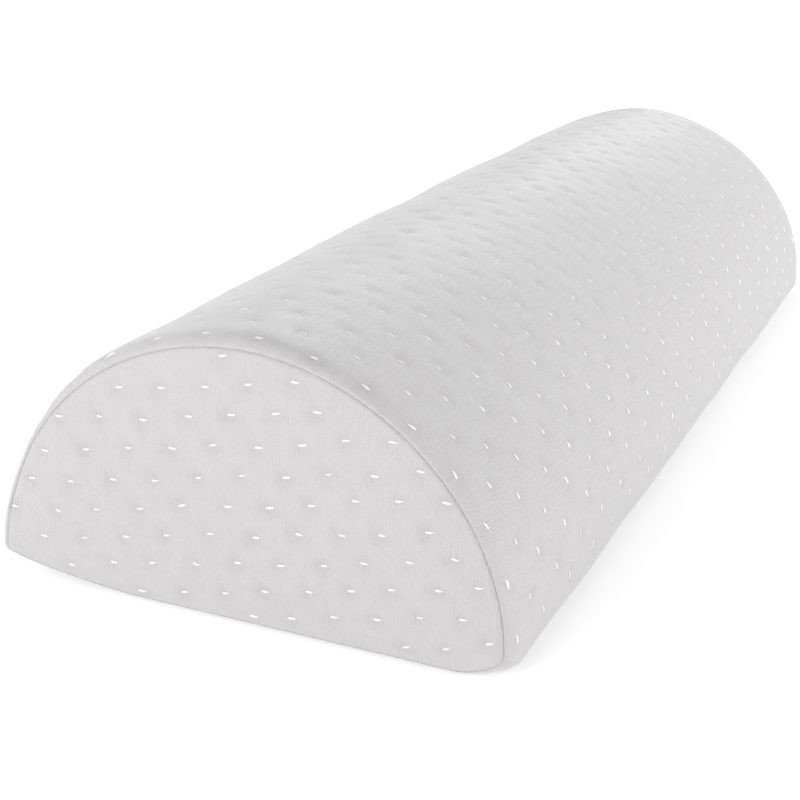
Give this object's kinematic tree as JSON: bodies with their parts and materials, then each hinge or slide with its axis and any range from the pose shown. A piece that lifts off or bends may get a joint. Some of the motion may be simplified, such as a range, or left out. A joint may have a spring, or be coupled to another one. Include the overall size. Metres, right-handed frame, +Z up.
{
  "type": "bolster pillow",
  "caption": "Half-moon foam bolster with a flat base, domed sewn end panels and a removable white jacquard knit cover closed by a zip along the back edge.",
  "frame": {"origin": "centre of the flat base, on the surface that the pillow stands on", "axes": "+X along the body's length, away from the end nearest the zip slider; +Y towards the long side that holds the zip; +Z up through the arch"},
  "size_m": [0.52, 0.2028, 0.104],
  "materials": {
    "knit": "white padded jacquard knit with short bright satin dashes",
    "thread": "white polyester sewing thread",
    "liner": "thin white tricot",
    "foam": "open-cell memory foam, cream",
    "zip_tape": "woven polyester tape, white",
    "zip_coil": "white nylon",
    "zip_metal": "white baked enamel on zinc",
    "label": "plain white satin ribbon, blank"
  },
  "bodies": {
    "cover": {"foam_core": "foam", "liner_wrap": "liner", "liner_end_left": "liner", "liner_end_right": "liner", "liner_seams": "thread", "cover_wrap": "knit", "cover_end_left": "knit", "cover_end_right": "knit", "end_seam_left": "thread", "end_seam_right": "thread", "zip_tape_upper": "zip_tape", "zip_tape_lower": "zip_tape", "zip_coil_upper": "zip_coil", "zip_coil_lower": "zip_coil", "zip_top_stops": "zip_coil", "zip_bottom_stop": "zip_coil", "zip_topstitch": "thread", "bar_tacks": "thread", "care_label": "label"},
    "slider": {"zip_slider": "zip_metal"},
    "pull": {"zip_pull": "zip_metal"}
  },
  "joints": [
    {"name": "zip_slide", "type": "slide", "parent": "cover", "child": "slider", "axis": [1, 0, 0], "range_m": [0, 0.43]},
    {"name": "pull_hinge", "type": "hinge", "parent": "slider", "child": "pull", "pos_m": [-0.2165, 0.10077, 0.02031], "axis": [0, -0.1618, 0.9868], "range_deg": [0, 170]}
  ]
}
